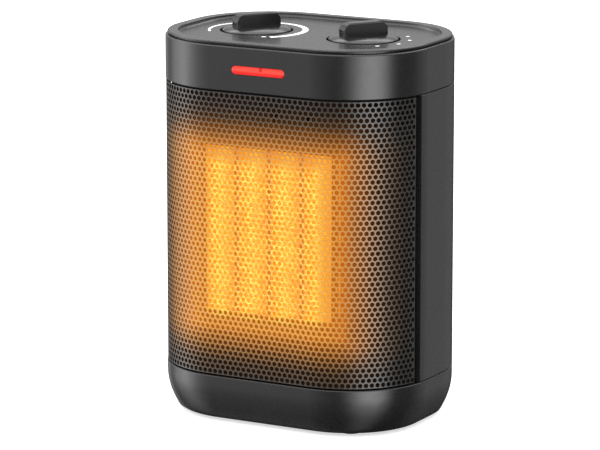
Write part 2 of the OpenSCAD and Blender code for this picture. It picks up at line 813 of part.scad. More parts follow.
module tilt_switch_body() color(black) difference() {
    floor_z = base_z + floor_t;
    block([tilt_x - 15, -8, floor_z], [tilt_x + 15, 8, tilt_pin_z + 4]);
    block([tilt_x - 13.4, -5.4, floor_z + 1.2], [tilt_x + 13.4, 5.4, tilt_pin_z + 5]);
    y_rod(tilt_x, tilt_pin_z, tilt_pin_r + seat, -10, 10);
}

module tilt_pin() color(steel) y_rod(tilt_x, tilt_pin_z, tilt_pin_r, -8, 8);

module tilt_weight() color("#8d9299") difference() {
    union() {
        y_rod(tilt_x, tilt_pin_z - tilt_arm, 4.6, -4, 4);
        y_rod(tilt_x, tilt_pin_z, 3, -2, 2);
        block([tilt_x - 1.5, -2, tilt_pin_z - tilt_arm], [tilt_x + 1.5, 2, tilt_pin_z]);
    }
    y_rod(tilt_x, tilt_pin_z, tilt_pin_r + run, -10, 10);
}

module cord_gland() color(black) difference() {
    union() {
        y_rod(0, inlet_z, inlet_r + 2.9, gland_y, body_d / 2 - 0.4);
        y_rod(0, inlet_z, 8.2, body_d / 2 - 2, body_d / 2 - 0.2);
    }
    y_rod(0, inlet_z, inlet_r, gland_y - 1, body_d);
}

module cord_clamp() color(cream) difference() {
    block([-14.5, 34, inlet_z + 0.4], [14.5, 42, inlet_z + 7]);
    y_rod(0, inlet_z, inlet_r + 0.2, 0, body_d);
    for (s = [-1, 1]) translate([s * 10, 38, inlet_z]) cylinder(h = 10, r = screw_r + 0.2);
}

module terminal_block() color(cream) difference() {
    z0 = base_z + floor_t;
    union() {
        block([23, -6.6, z0], [47, 6.6, z0 + 5]);
        for (x = [29, 41]) block([x - 5, -5, z0], [x + 5, 5, z0 + 13]);
    }
    for (x = [29, 41]) {
        y_rod(x, z0 + 7.6, 1.7, -10, 10);
        for (y = [-2.6, 2.6]) translate([x, y, z0 + 7]) cylinder(h = 10, r = 1.5, $fn = 24);
    }
}

module housing_screws() color(steel) at_screws() {
    translate([0, 0, base_z + 10]) mirror([0, 0, 1]) pan_screw(seam_z - base_z);
    translate([0, 0, band_z + flange_t]) pan_screw(12);
}

module frame_screws() color(steel) {
    at_ears() front_headed(0, ear_y, 0, 10);
    at_shroud_screws() back_headed(0, duct_back_y, 0, 9);
    at_posts() back_headed(0, mount_y + mount_t, 0, 10);
}

module rear_screws() color(steel) at_back_screws() back_headed(0, 18, 0, 19);

module motor_screws() color(steel) for (s = [-1, 1])
    back_headed(s * stay_x, stack_y + stack_t + 7.5, axis_z, 31.5);

module clamp_screws() color(steel) for (s = [-1, 1]) translate([s * 10, 38, inlet_z + 7]) pan_screw(14);

// One blade: a slice of a thin tube whose axis points outward from the hub
module fan_blade() {
    bend_r = 26;
    t = 1.5;
    intersection() {
        translate([0, -2, 0]) rotate([0, 0, 0]) difference() {
            translate([-bend_r * 0.72, bend_r * 0.7, 0]) cylinder(h = fan_r + 2, r = bend_r);
            translate([-bend_r * 0.72, bend_r * 0.7, -1]) cylinder(h = fan_r + 4, r = bend_r - t);
        }
        block([-10, hub_y - 1, hub_r - 2], [9, hub_y + hub_d + 1, fan_r + 2]);
    }
}

module fan_impeller() color("#2a2b2e") difference() {
    union() {
        intersection() {
            translate([0, 0, axis_z]) for (k = [0:blades - 1]) rotate([0, k * 360 / blades, 0]) fan_blade();
            y_rod(0, axis_z, fan_r, hub_y, hub_y + hub_d);
        }
        difference() {
            y_rod(0, axis_z, hub_r, hub_y, hub_y + hub_d);
            y_rod(0, axis_z, hub_r - 2, hub_y + 2, hub_y + hub_d + 1);
        }
        y_rod(0, axis_z, 5, hub_y, hub_y + hub_d);
    }
    y_rod(0, axis_z, shaft_r + seat, hub_y - 1, hub_y + hub_d + 1);
}

module motor_shaft() color(steel) y_rod(0, axis_z, shaft_r, hub_y - 3, stack_y + stack_t + 10);

module motor_rotor() color("#7d8288") difference() {
    y_rod(0, axis_z, rotor_r, stack_y - 0.5, stack_y + stack_t + 0.5);
    y_rod(0, axis_z, shaft_r + seat, 0, body_d);
}

module fan_clip() color(steel) difference() {
    y_rod(0, axis_z, 5, hub_y - 0.8, hub_y);
    y_rod(0, axis_z, shaft_r + seat, -20, 20);
    for (a = [0:60:300]) translate([0, 0, axis_z]) rotate([0, a, 0]) block([-0.4, -20, 0], [0.4, 20, 3.4]);
}

base_shell();
rubber_feet();
rear_shell();
front_grille();
air_duct();
fan_shroud();
top_band();
top_cover();
lamp_lens();
lamp_holder();
neon_lamp();
heater_frame_top();
heater_frame_bottom();
heater_side_rails();
fin_block(0);  // fin_block_1
fin_block(1);  // fin_block_2
fin_block(2);  // fin_block_3
fin_block(3);  // fin_block_4
ptc_row(1);  // ptc_row_1
ptc_row(2);  // ptc_row_2
ptc_row(3);  // ptc_row_3
electrodes_live();
electrodes_neutral();
thermal_cutout();
thermal_fuse();
motor_mount();
motor_front_bracket();
motor_rear_bracket();
motor_bearings();
motor_core();
motor_coil();
coil_bobbin();
thermostat_body();
thermostat_bimetal();
mode_switch_body();
mode_switch_terminals();
control_nuts();
tilt_switch_body();
tilt_pin();
cord_gland();
cord_clamp();
terminal_block();
housing_screws();
frame_screws();
rear_screws();
motor_screws();
clamp_screws();
fan_impeller();
motor_shaft();
motor_rotor();
fan_clip();
thermostat_knob();
thermostat_spindle();
mode_knob();
mode_spindle();
tilt_weight();
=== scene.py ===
import json
import math

import bmesh
import bpy
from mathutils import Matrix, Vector


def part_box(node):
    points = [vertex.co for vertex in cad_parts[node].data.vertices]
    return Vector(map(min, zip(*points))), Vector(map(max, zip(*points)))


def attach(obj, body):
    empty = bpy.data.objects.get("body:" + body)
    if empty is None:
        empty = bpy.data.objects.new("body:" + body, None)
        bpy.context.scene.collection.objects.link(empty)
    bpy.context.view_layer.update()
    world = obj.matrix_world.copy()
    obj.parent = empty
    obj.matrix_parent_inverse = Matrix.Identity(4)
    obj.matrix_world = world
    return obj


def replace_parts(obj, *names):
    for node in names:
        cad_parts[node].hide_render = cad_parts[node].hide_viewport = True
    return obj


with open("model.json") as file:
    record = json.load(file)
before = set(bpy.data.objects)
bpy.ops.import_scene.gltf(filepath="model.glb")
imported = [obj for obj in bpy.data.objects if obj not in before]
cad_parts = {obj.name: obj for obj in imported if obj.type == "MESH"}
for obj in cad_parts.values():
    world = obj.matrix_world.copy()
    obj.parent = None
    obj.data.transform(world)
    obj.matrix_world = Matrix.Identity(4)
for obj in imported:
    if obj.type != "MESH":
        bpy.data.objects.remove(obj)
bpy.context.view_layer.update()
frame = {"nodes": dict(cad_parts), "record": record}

MM = 0.001

# ---------------------------------------------------------------- body, from the frame
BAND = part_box("top_band")
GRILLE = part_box("front_grille")
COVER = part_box("top_cover")
FINS = (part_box("fin_block_1")[0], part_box("fin_block_4")[1])
FIN_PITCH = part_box("fin_block_2")[0].x - FINS[0].x
HALF_W = BAND[1].x
HALF_D = BAND[1].y
CORNER_R = 49.2 * MM
ARC_X = HALF_W - CORNER_R
ARC_Y = HALF_D - CORNER_R
DECK_DROP = 2.3 * MM
DECK_Z = COVER[1].z - DECK_DROP
KNOB_AT = [(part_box(n)[0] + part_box(n)[1]) / 2 for n in ("thermostat_knob", "mode_knob")]
SHARP_ANGLE = math.radians(35)


# ---------------------------------------------------------------- mesh helpers
def mesh_piece(name, verts, faces, material, body="housing"):
    """A new piece from points and faces, in the frame's own coordinates."""
    mesh = bpy.data.meshes.new(name)
    mesh.from_pydata([tuple(v) for v in verts], [], faces)
    mesh.update()
    mesh.materials.append(material)
    obj = bpy.data.objects.new(name, mesh)
    bpy.context.scene.collection.objects.link(obj)
    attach(obj, body)
    return obj


# ---------------------------------------------------------------- material helpers
def node(tree, kind, **settings):
    """Adds a shader node. Settings with a socket's name set or link that input, others are node options."""
    made = tree.nodes.new(kind)
    for key, value in settings.items():
        socket = made.inputs.get(key.replace("_", " "))
        if socket is None:
            setattr(made, key, value)
        elif isinstance(value, bpy.types.NodeSocket):
            tree.links.new(value, socket)
        else:
            socket.default_value = value
    return made


def ramp(tree, fac, stops, interpolation="LINEAR"):
    """A colour ramp over fac. Each stop is (place, grey) or (place, (r, g, b))."""
    made = tree.nodes.new("ShaderNodeValToRGB")
    tree.links.new(fac, made.inputs[0])
    elements = made.color_ramp.elements
    made.color_ramp.interpolation = interpolation
    elements.remove(elements[1])
    for number, (place, colour) in enumerate(stops):
        element = elements.new(place) if number else elements[0]
        element.position = place
        grey = isinstance(colour, (int, float))
        element.color = (colour, colour, colour, 1) if grey else (*colour, 1)
    return made.outputs[0]


def math_node(tree, operation, a, b=0.0, clamp=False):
    made = tree.nodes.new("ShaderNodeMath")
    made.operation = operation
    made.use_clamp = clamp
    for socket, value in zip(made.inputs, (a, b)):
        if isinstance(value, bpy.types.NodeSocket):
            tree.links.new(value, socket)
        else:
            socket.default_value = value
    return made.outputs[0]


def start(name):
    """A new material: (material, tree, Principled node, object coordinates)."""
    material = bpy.data.materials.new(name)
    material.use_nodes = True
    tree = material.node_tree
    shader = tree.nodes["Principled BSDF"]
    place = tree.nodes.new("ShaderNodeTexCoord").outputs["Object"]
    return material, tree, shader, place


def noise(tree, place, scale, detail=3.0, roughness=0.5):
    made = tree.nodes.new("ShaderNodeTexNoise")
    tree.links.new(place, made.inputs["Vector"])
    made.inputs["Scale"].default_value = scale
    made.inputs["Detail"].default_value = detail
    made.inputs["Roughness"].default_value = roughness
    return made.outputs["Fac"]


def bump(tree, shader, height, depth):
    made = tree.nodes.new("ShaderNodeBump")
    made.inputs["Strength"].default_value = 1.0
    made.inputs["Distance"].default_value = depth
    tree.links.new(height, made.inputs["Height"])
    tree.links.new(made.outputs[0], shader.inputs["Normal"])


def blended(tree, share, near, far):
    """The colour near where share is 0 and far where it is 1. Each is a socket or an (r, g, b)."""
    mix = node(tree, "ShaderNodeMix", data_type="RGBA")
    tree.links.new(share, mix.inputs[0])
    for socket, colour in ((mix.inputs[6], near), (mix.inputs[7], far)):
        if isinstance(colour, bpy.types.NodeSocket):
            tree.links.new(colour, socket)
        else:
            socket.default_value = (*colour, 1)
    return mix.outputs[2]


PATCH_SCALE = 60.0


def mottled(name, dark, light, rough, grain, depth, metallic=0.0, spread=0.06, **sockets):
    """A material that varies in soft patches, over a fine grain of the given scale and depth."""
    material, tree, shader, place = start(name)
    patches = noise(tree, place, PATCH_SCALE)
    colour = ramp(tree, patches, [(0.3, dark), (0.7, light)])
    tree.links.new(colour, shader.inputs["Base Color"])
    fine = noise(tree, place, grain, 2.0)
    rubbed = noise(tree, place, PATCH_SCALE * 4, 4.0)
    level = ramp(tree, rubbed, [(0.25, rough - spread), (0.75, rough + spread)])
    tree.links.new(level, shader.inputs["Roughness"])
    bump(tree, shader, fine, depth)
    shader.inputs["Metallic"].default_value = metallic
    for key, value in sockets.items():
        shader.inputs[key.replace("_", " ")].default_value = value
    return material


def tint(colour, factor):
    return tuple(c * factor for c in colour)


# ---------------------------------------------------------------- materials
CHARCOAL = (0.0095, 0.0095, 0.01)


def shell_material():
    return mottled("shell", tint(CHARCOAL, 0.92), tint(CHARCOAL, 1.08), 0.27, 2600, 0.007 * MM, spread=0.02)


def knob_material():
    return mottled("knob", tint(CHARCOAL, 0.85), tint(CHARCOAL, 1.0), 0.2, 3000, 0.012 * MM, spread=0.03,
                   Specular_IOR_Level=0.36)


def box_distance(tree, place, low, high, stretch=(1, 1, 1)):
    """Distance in metres from the box low..high, as a socket. stretch scales the distance along each axis."""
    parts = tree.nodes.new("ShaderNodeSeparateXYZ")
    tree.links.new(place, parts.inputs[0])
    total = 0.0
    for socket, near, far, scale in zip(parts.outputs, low, high, stretch):
        offset = math_node(tree, "ABSOLUTE", math_node(tree, "SUBTRACT", socket, (near + far) / 2))
        beyond = math_node(tree, "MAXIMUM", math_node(tree, "SUBTRACT", offset, (far - near) / 2), 0.0)
        beyond = math_node(tree, "MULTIPLY", beyond, scale)
        total = math_node(tree, "ADD", math_node(tree, "MULTIPLY", beyond, beyond), total)
    return math_node(tree, "SQRT", total)


# Box round the fins and reach of the painted heater light; the reach also sets how far the steel's heat stain
# goes.
HEATER_LIGHT_AND_STAIN_REACH = 40 * MM
HEATER_LIGHT_LOW = FINS[0] - Vector((14, 0, 8)) * MM
HEATER_LIGHT_HIGH = FINS[1] + Vector((5, 0, 0)) * MM


def painted_heater_light(material):
    """Adds painted light from the heater to a material: an orange emission fading with distance from the
    fins, standing in for the fins' light falling on it.
    """
    tree = material.node_tree
    shader = tree.nodes["Principled BSDF"]
    place = tree.nodes.new("ShaderNodeTexCoord").outputs["Object"]
    away = box_distance(tree, place, HEATER_LIGHT_LOW, HEATER_LIGHT_HIGH, (1, 1.6, 1))
    near = math_node(tree, "DIVIDE", away, HEATER_LIGHT_AND_STAIN_REACH, clamp=True)
    # painted light: orange, strongest beside the fins, fading to nothing at the reach
    colour = ramp(tree, near, [
        (0.0, (0.5, 0.13, 0.01)), (0.1, (0.3, 0.08, 0.006)), (0.2, (0.18, 0.048, 0.0035)),
        (0.375, (0.05, 0.016, 0.0015)), (0.5, (0.018, 0.006, 0.0008)), (0.8, (0.0015, 0.0008, 0.0004)),
        (1.0, (0, 0, 0)),
    ])
    tree.links.new(colour, shader.inputs["Emission Color"])
    shader.inputs["Emission Strength"].default_value = 1.0
    return material


def dark_plastic_material():
    # dark inner plastic, with painted light from the heater on it
    return painted_heater_light(mottled("inner_plastic", (0.004, 0.004, 0.0042), (0.006, 0.006, 0.0063), 0.72, 1800,
                          0.03 * MM, Specular_IOR_Level=0.15))


def steel_material():
    """Zinc plated steel with fine rolling lines, stained dark by the heat near the fins, with painted light
    from the heater on it.
    """
    material, tree, shader, place = start("steel")
    away = math_node(tree, "DIVIDE", box_distance(tree, place, FINS[0], FINS[1]), HEATER_LIGHT_AND_STAIN_REACH, clamp=True)
    stretch = node(tree, "ShaderNodeMapping", Vector=place, Scale=(90, 2400, 90))
    lines = noise(tree, stretch.outputs[0], 1.0, 4.0)
    stained = ramp(tree, lines, [(0.3, (0.03, 0.016, 0.008)), (0.7, (0.05, 0.026, 0.012))])
    clean = ramp(tree, lines, [(0.3, (0.42, 0.43, 0.45)), (0.7, (0.62, 0.63, 0.64))])
    colour = blended(tree, ramp(tree, away, [(0.4, 0), (0.9, 1)]), stained, clean)
    tree.links.new(colour, shader.inputs["Base Color"])
    tree.links.new(ramp(tree, lines, [(0.2, 0.26), (0.8, 0.44)]), shader.inputs["Roughness"])
    bump(tree, shader, lines, 0.01 * MM)
    shader.inputs["Metallic"].default_value = 1.0
    return painted_heater_light(material)


def lamination_material():
    """Stacked steel sheets, seen as thin lines along the depth."""
    material, tree, shader, place = start("lamination")
    sheets = node(tree, "ShaderNodeTexWave", Vector=place, Scale=320.0, Distortion=0.4)
    sheets.bands_direction = "Y"
    tree.links.new(ramp(tree, sheets.outputs["Fac"], [(0.2, (0.12, 0.125, 0.13)), (0.7, (0.3, 0.31, 0.33))]),
                   shader.inputs["Base Color"])
    level = ramp(tree, noise(tree, place, 300), [(0.3, 0.38), (0.7, 0.55)])
    tree.links.new(level, shader.inputs["Roughness"])
    bump(tree, shader, sheets.outputs["Fac"], 0.08 * MM)
    shader.inputs["Metallic"].default_value = 0.9
    return material


def winding_material():
    """Turns of enamelled copper wire round the coil."""
    material, tree, shader, place = start("winding")
    turns = node(tree, "ShaderNodeTexWave", Vector=place, Scale=420.0, Distortion=0.3)
    turns.bands_direction = "X"
    tree.links.new(ramp(tree, turns.outputs["Fac"], [(0.1, (0.12, 0.03, 0.008)), (0.7, (0.5, 0.17, 0.05))]),
                   shader.inputs["Base Color"])
    tree.links.new(ramp(tree, turns.outputs["Fac"], [(0.0, 0.5), (1.0, 0.3)]), shader.inputs["Roughness"])
    bump(tree, shader, turns.outputs["Fac"], 0.12 * MM)
    shader.inputs["Metallic"].default_value = 0.6
    return material


# How much dimmer the fins' glow, and the painted heater light on the grille sheet, are between two fin
# columns.
FIN_COLUMN_DIM = 0.14
SHEET_COLUMN_DIM = 0.13


def column_share(tree, place, shift):
    """0 along the middle of each column of fins and 1 between two columns, as a socket."""
    parts = tree.nodes.new("ShaderNodeSeparateXYZ")
    tree.links.new(place, parts.inputs[0])
    turns = math_node(tree, "DIVIDE", math_node(tree, "SUBTRACT", parts.outputs["X"], shift), FIN_PITCH)
    across = math_node(tree, "SUBTRACT", math_node(tree, "FRACT", turns), 0.5)
    return math_node(tree, "MULTIPLY", math_node(tree, "ABSOLUTE", across), 2.0)


def fin_material():
    """Folded aluminium fins, glowing, with brighter creases and a hotter middle in each column."""
    material, tree, shader, place = start("fin")
    grain = noise(tree, place, 900, 2.0)
    tree.links.new(ramp(tree, grain, [(0.3, (0.2, 0.1, 0.04)), (0.7, (0.32, 0.17, 0.07))]),
                   shader.inputs["Base Color"])
    tree.links.new(ramp(tree, grain, [(0.3, 0.35), (0.7, 0.5)]), shader.inputs["Roughness"])
    sparkle = noise(tree, place, 800, 3.0, 0.7)
    column_dimming = math_node(tree, "MULTIPLY", column_share(tree, place, 0.0), FIN_COLUMN_DIM)
    level = math_node(tree, "SUBTRACT", sparkle, column_dimming)
    tree.links.new(ramp(tree, level, [(0.3, (0.72, 0.19, 0.01)), (0.46, (0.95, 0.33, 0.02)),
                                      (0.56, (1.0, 0.56, 0.06)), (0.66, (1.0, 0.88, 0.2))]),
                   shader.inputs["Emission Color"])
    shader.inputs["Emission Strength"].default_value = 0.85
    bump(tree, shader, grain, 0.02 * MM)
    shader.inputs["Metallic"].default_value = 0.3
    return material


def stone_material():
    """Heating stones and what is beside them, dull red from the heat."""
    material, tree, shader, place = start("stone")
    grain = noise(tree, place, 1500, 4.0)
    tree.links.new(ramp(tree, grain, [(0.3, (0.05, 0.035, 0.03)), (0.7, (0.11, 0.08, 0.06))]),
                   shader.inputs["Base Color"])
    tree.links.new(ramp(tree, grain, [(0.3, (0.62, 0.14, 0.008)), (0.7, (0.85, 0.24, 0.016))]),
                   shader.inputs["Emission Color"])
    shader.inputs["Emission Strength"].default_value = 0.8
    tree.links.new(ramp(tree, grain, [(0.3, 0.6), (0.7, 0.8)]), shader.inputs["Roughness"])
    bump(tree, shader, grain, 0.05 * MM)
    return material


# Where the painted heater light lies on the grille sheet: its box, its bright core, how far it reaches on the
# sheet and on the hole walls, and how far its column pattern is shifted.
SHEET_PAINTED_LIGHT_LOW = Vector((FINS[0].x, -HALF_D, FINS[0].z - 4 * MM))
SHEET_PAINTED_LIGHT_HIGH = Vector((FINS[1].x + 3 * MM, FINS[0].y - 4 * MM, FINS[1].z - 3 * MM))
CORE_LOW = SHEET_PAINTED_LIGHT_LOW + Vector((11, 0, 9)) * MM
CORE_HIGH = SHEET_PAINTED_LIGHT_HIGH - Vector((8, 0, 6)) * MM
SHEET_PAINTED_LIGHT_REACH = 50 * MM
HOLE_PAINTED_LIGHT_REACH = 36 * MM
COLUMN_SHIFT = 4.5 * MM
CORE_EDGE = 6 * MM


def grille_material(name, paint, reach):
    """Powder coated steel sheet with painted light: an orange emission, brightest in a core over the heater
    and fading away from it, stands in for the heater's light on the sheet, and is painted dimmer between the
    fin columns.
    """
    material, tree, shader, place = start(name)
    grain = noise(tree, place, 2200, 2.0)
    tree.links.new(ramp(tree, noise(tree, place, 70), [(0.3, tint(paint, 0.88)), (0.7, tint(paint, 1.12))]),
                   shader.inputs["Base Color"])
    tree.links.new(ramp(tree, grain, [(0.3, 0.3), (0.7, 0.4)]), shader.inputs["Roughness"])
    bump(tree, shader, grain, 0.015 * MM)
    # painted light: an orange halo fading with distance from the heater's box
    away = box_distance(tree, place, SHEET_PAINTED_LIGHT_LOW, SHEET_PAINTED_LIGHT_HIGH, (0.65, 1, 1))
    fall = math_node(tree, "DIVIDE", away, reach, clamp=True)
    halo = ramp(tree, fall, [
        (0.0, (0.76, 0.33, 0.036)), (0.08, (0.64, 0.255, 0.026)), (0.2, (0.43, 0.17, 0.018)),
        (0.3, (0.25, 0.1, 0.011)), (0.42, (0.075, 0.035, 0.006)), (0.6, (0.012, 0.007, 0.003)),
        (1.0, (0, 0, 0)),
    ])
    # painted light: a bright speckled core over the heater, dimmer between the fin columns
    speck = noise(tree, place, 620, 3.0, 0.7)
    column_dimming = math_node(tree, "MULTIPLY", column_share(tree, place, COLUMN_SHIFT), SHEET_COLUMN_DIM)
    level = math_node(tree, "SUBTRACT", speck, column_dimming)
    core = ramp(tree, level, [(0.3, (0.88, 0.34, 0.03)), (0.46, (0.97, 0.58, 0.055)),
                              (0.56, (1.0, 0.76, 0.085)), (0.64, (1.0, 0.95, 0.16))])
    inner = box_distance(tree, place, CORE_LOW, CORE_HIGH)
    edge = math_node(tree, "DIVIDE", inner, CORE_EDGE, clamp=True)
    tree.links.new(blended(tree, edge, core, halo), shader.inputs["Emission Color"])
    shader.inputs["Emission Strength"].default_value = 1.0
    return material


LENS_JOINT_X = 2 * MM
LENS_JOINT_RISE = 1 * MM
LENS_JOINT_REACH = 1.6 * MM


def lens_material():
    """Clear red plastic lit from behind, deeper along its lower edge, with a dark joint near its middle."""
    material, tree, shader, place = start("lens")
    low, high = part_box("lamp_lens")
    parts = tree.nodes.new("ShaderNodeSeparateXYZ")
    tree.links.new(place, parts.inputs[0])
    rise = math_node(tree, "DIVIDE", math_node(tree, "SUBTRACT", parts.outputs["Z"], low.z), high.z - low.z)
    facets = ramp(tree, rise, [(0.26, (0.5, 0.003, 0.002)), (0.4, (0.54, 0.006, 0.004)),
                               (0.48, (0.7, 0.07, 0.045)), (0.62, (0.72, 0.075, 0.045)),
                               (0.76, (0.6, 0.025, 0.016))])
    joint_low = Vector((LENS_JOINT_X, low.y, (low.z + high.z) / 2 + LENS_JOINT_RISE))
    joint_high = Vector((LENS_JOINT_X, high.y, high.z))
    away = box_distance(tree, place, joint_low, joint_high)
    share = math_node(tree, "DIVIDE", away, LENS_JOINT_REACH, clamp=True)
    fade = ramp(tree, share, [(0.2, 0), (1.0, 1)], "EASE")
    tree.links.new(blended(tree, fade, (0.2, 0.002, 0.002), facets), shader.inputs["Emission Color"])
    shader.inputs["Emission Strength"].default_value = 1.0
    colour = ramp(tree, noise(tree, place, 300), [(0.3, (0.3, 0.004, 0.003)), (0.7, (0.36, 0.006, 0.005))])
    tree.links.new(colour, shader.inputs["Base Color"])
    level = ramp(tree, noise(tree, place, 400), [(0.3, 0.16), (0.7, 0.24)])
    tree.links.new(level, shader.inputs["Roughness"])
    shader.inputs["Specular IOR Level"].default_value = 0.35
    return material


def print_material():
    return mottled("print", (0.78, 0.78, 0.78), (0.86, 0.86, 0.86), 0.5, 2500, 0.005 * MM)


MATERIALS = {
    "shell": shell_material(),
    "knob": knob_material(),
    "inner_plastic": dark_plastic_material(),
    "grille": grille_material("grille", (0.02, 0.02, 0.019), SHEET_PAINTED_LIGHT_REACH),
    "lens": lens_material(),
    # heat_plastic carries painted light from the heater
    "heat_plastic": painted_heater_light(mottled("heat_plastic", (0.014, 0.008, 0.004), (0.02, 0.012, 0.006), 0.6, 1500,
                                   0.03 * MM, Specular_IOR_Level=0.15)),
    "fin": fin_material(),
    "stone": stone_material(),
    "fuse": mottled("fuse", (0.6, 0.57, 0.5), (0.7, 0.66, 0.58), 0.35, 1500, 0.02 * MM),
    # brass carries painted light from the heater
    "brass": painted_heater_light(mottled("brass", (0.12, 0.07, 0.025), (0.17, 0.1, 0.035), 0.5, 1800, 0.01 * MM,
                            metallic=0.6)),
    "steel": steel_material(),
    "lamination": lamination_material(),
    "sintered": mottled("sintered", (0.3, 0.19, 0.08), (0.42, 0.28, 0.13), 0.5, 3500, 0.05 * MM,
                        metallic=0.8),
    "winding": winding_material(),
    "bakelite": mottled("bakelite", (0.05, 0.02, 0.011), (0.09, 0.036, 0.018), 0.3, 1400, 0.02 * MM),
    "rubber": mottled("rubber", (0.012, 0.012, 0.012), (0.02, 0.02, 0.02), 0.7, 1600, 0.05 * MM),
    "lamp": mottled("lamp", (0.75, 0.25, 0.12), (0.9, 0.4, 0.2), 0.1, 400, 0.01 * MM,
                    Transmission_Weight=0.6),
}


# ---------------------------------------------------------------- CAD nodes
EDGE_SIZE = 0.12 * MM
EDGE_SIZES = {"rear_shell": 0.35 * MM}
WELD_REACH = 0.002 * MM


def dress_cad_nodes():
    """Gives each CAD node its material, smooth shading and softened edges."""
    slots = {part["node"]: part["material_slot"] for part in frame["record"]["subparts"]}
    for name, obj in frame["nodes"].items():
        material = MATERIALS[slots[name]]
        obj.data.materials.clear()
        obj.data.materials.append(material)
        weld = obj.modifiers.new("weld", "WELD")
        weld.merge_threshold = WELD_REACH
        for poly in obj.data.polygons:
            poly.use_smooth = True
            poly.material_index = 0
        edge = obj.modifiers.new("edges", "BEVEL")
        edge.width = EDGE_SIZES.get(name, EDGE_SIZE)
        edge.segments = 2
        edge.limit_method = "ANGLE"
        edge.angle_limit = SHARP_ANGLE
        weigh = obj.modifiers.new("normals", "WEIGHTED_NORMAL")
        weigh.keep_sharp = True


# ---------------------------------------------------------------- perforated grille
HOLE_D = 2.62 * MM
HOLE_PITCH = 3.28 * MM
HOLE_SIDES = 11
CELL_SIDES = 6
HOLE_MARGIN = 0.4 * MM
SHEET_T = 0.8 * MM
SHEET_INSET = 0.3 * MM
KEYS_PER_MM = 500


def sheet_point(s, z, depth):
    """A point of the grille: s runs along its outer face from the middle, depth goes inward."""
    r = CORNER_R - SHEET_INSET
    flat = ARC_X
    if abs(s) <= flat:
        return Vector((s, -ARC_Y - r + depth, z))
    angle = (abs(s) - flat) / r
    x = flat + (r - depth) * math.sin(angle)
    return Vector((math.copysign(x, s), -ARC_Y - (r - depth) * math.cos(angle), z))


def clipped(points, low, high):
    """A convex polygon cut to the rectangle low..high."""
    for axis in (0, 1):
        for limit, keep in ((low[axis], 1), (high[axis], -1)):
            result = []
            for i, here in enumerate(points):
                before = points[i - 1]
                inside = [keep * (p[axis] - limit) >= -1e-9 for p in (before, here)]
                if inside[0] != inside[1]:
                    t = (limit - before[axis]) / (here[axis] - before[axis])
                    result.append(tuple(b + (h - b) * t for b, h in zip(before, here)))
                if inside[1]:
                    result.append(here)
            points = result
            if not points:
                return []
    return points


def hole_cell(cx, cz, radius, corners):
    """Triangles between a hexagonal cell's corners and its round hole, as flat (s, z) points."""
    turns = [math.tau * i / HOLE_SIDES for i in range(HOLE_SIDES)]
    rim = [(cx + radius * math.sin(turn), cz + radius * math.cos(turn)) for turn in turns]
    faces = []
    i = k = 0
    while i < HOLE_SIDES or k < CELL_SIDES:
        rim_first = (i + 0.5) / HOLE_SIDES < (k + 0.5) / CELL_SIDES
        take_rim = k >= CELL_SIDES or (i < HOLE_SIDES and rim_first)
        a, c = rim[i % HOLE_SIDES], corners[k % CELL_SIDES]
        if take_rim:
            faces.append((a, rim[(i + 1) % HOLE_SIDES], c))
            i += 1
        else:
            faces.append((a, corners[(k + 1) % CELL_SIDES], c))
            k += 1
    return faces


def fitted(span, pitch):
    """The pitch nearest to the given one that divides the span evenly, and how many of it there are."""
    count = round(span / pitch)
    return span / count, count


def perforated_grille():
    """The wraparound sheet: hexagonal cells with a round hole each, solid at its edges."""
    r = CORNER_R - SHEET_INSET
    edge_angle = math.pi / 2 - math.asin((-ARC_Y - GRILLE[1].y) / r)
    low = (-(ARC_X + r * edge_angle), GRILLE[0].z)
    high = (-low[0], GRILLE[1].z)
    margin = HOLE_D / 2 + HOLE_MARGIN
    pitch, cols = fitted(high[0] - low[0] - 2 * margin, HOLE_PITCH)
    row_h, rows = fitted(high[1] - low[1] - 2 * margin, HOLE_PITCH * math.sqrt(3) / 2)
    flat_faces = []
    for row in range(-1, rows + 2):
        for col in range(-2, cols + 3):
            column = col + row % 2 / 2
            cx = low[0] + margin + column * pitch
            cz = low[1] + margin + row * row_h
            corners = [(cx + x * pitch / 2, cz + z * row_h / 3)
                       for x, z in ((0, 2), (1, 1), (1, -1), (0, -2), (-1, -1), (-1, 1))]
            if 0 <= row <= rows and 0 <= column <= cols:
                cell = hole_cell(cx, cz, HOLE_D / 2, corners)
            else:
                cell = [tuple(corners[::-1])]
            if not all(low[0] < x < high[0] and low[1] < z < high[1] for x, z in corners):
                cell = [tuple(clipped(list(face), low, high)) for face in cell]
            flat_faces += cell
    index, flat, faces = {}, [], []
    for face in flat_faces:
        ids = []
        for s, z in face:
            key = (round(s / MM * KEYS_PER_MM), round(z / MM * KEYS_PER_MM))
            if key not in index:
                index[key] = len(flat)
                flat.append((s, z))
            if not ids or ids[-1] != index[key]:
                ids.append(index[key])
        if len(set(ids)) >= 3 and len(set(ids)) == len(ids):
            faces.append(ids)
    return two_sided("grille_sheet", flat, faces)


